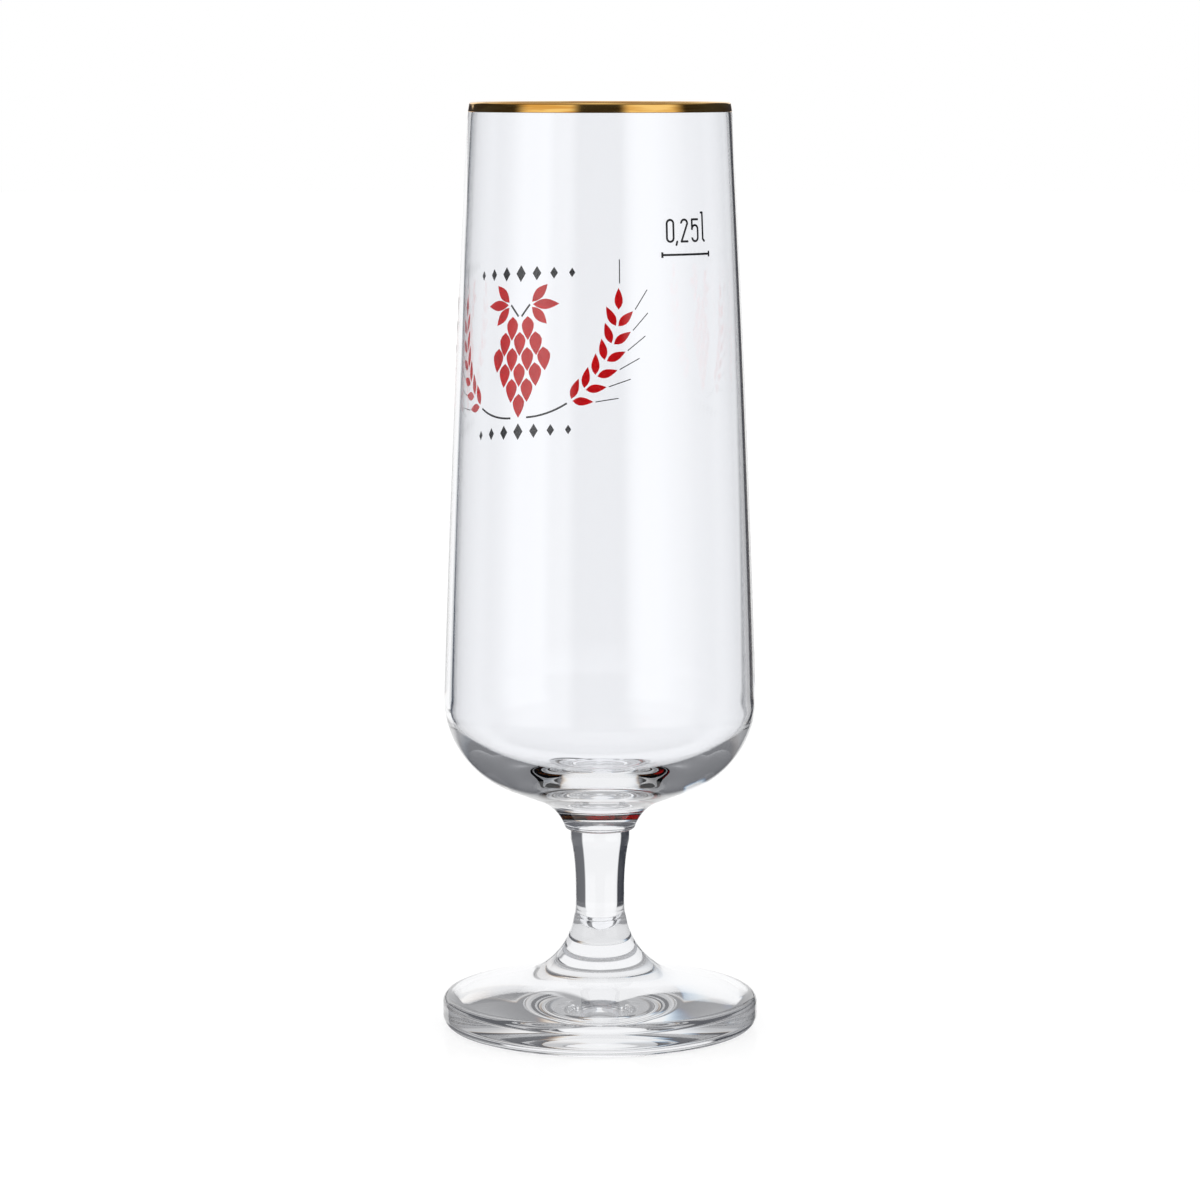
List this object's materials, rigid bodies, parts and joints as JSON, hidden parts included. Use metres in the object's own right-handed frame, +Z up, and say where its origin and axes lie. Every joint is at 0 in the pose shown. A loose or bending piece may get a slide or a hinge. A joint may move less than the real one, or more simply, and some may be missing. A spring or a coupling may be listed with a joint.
{
  "type": "stemmed beer glass",
  "caption": "Tall stemmed beer glass: slim tapered bowl with a thick base, short solid stem and heavy round foot, with a gold lip, a measure mark and a printed sprig.",
  "frame": {"origin": "centre of the foot's underside, on the table", "axes": "+Z up along the axis of the glass; -Y is the side that the picture shows, +X its right"},
  "size_m": [0.0632, 0.0632, 0.185],
  "materials": {
    "bowl_glass": "clear, fire polished",
    "stem_glass": "clear, fire polished",
    "foot_glass": "clear, fire polished",
    "fired_gold": "thin bright gold band, fired on",
    "red_enamel": "glossy red printed enamel",
    "black_enamel": "glossy black printed enamel"
  },
  "bodies": {
    "root": {"bowl": "bowl_glass", "stem": "stem_glass", "foot": "foot_glass", "gold_rim": "fired_gold", "fill_line": "black_enamel", "fill_numerals": "black_enamel", "print_red": "red_enamel", "print_black": "black_enamel"}
  },
  "joints": []
}
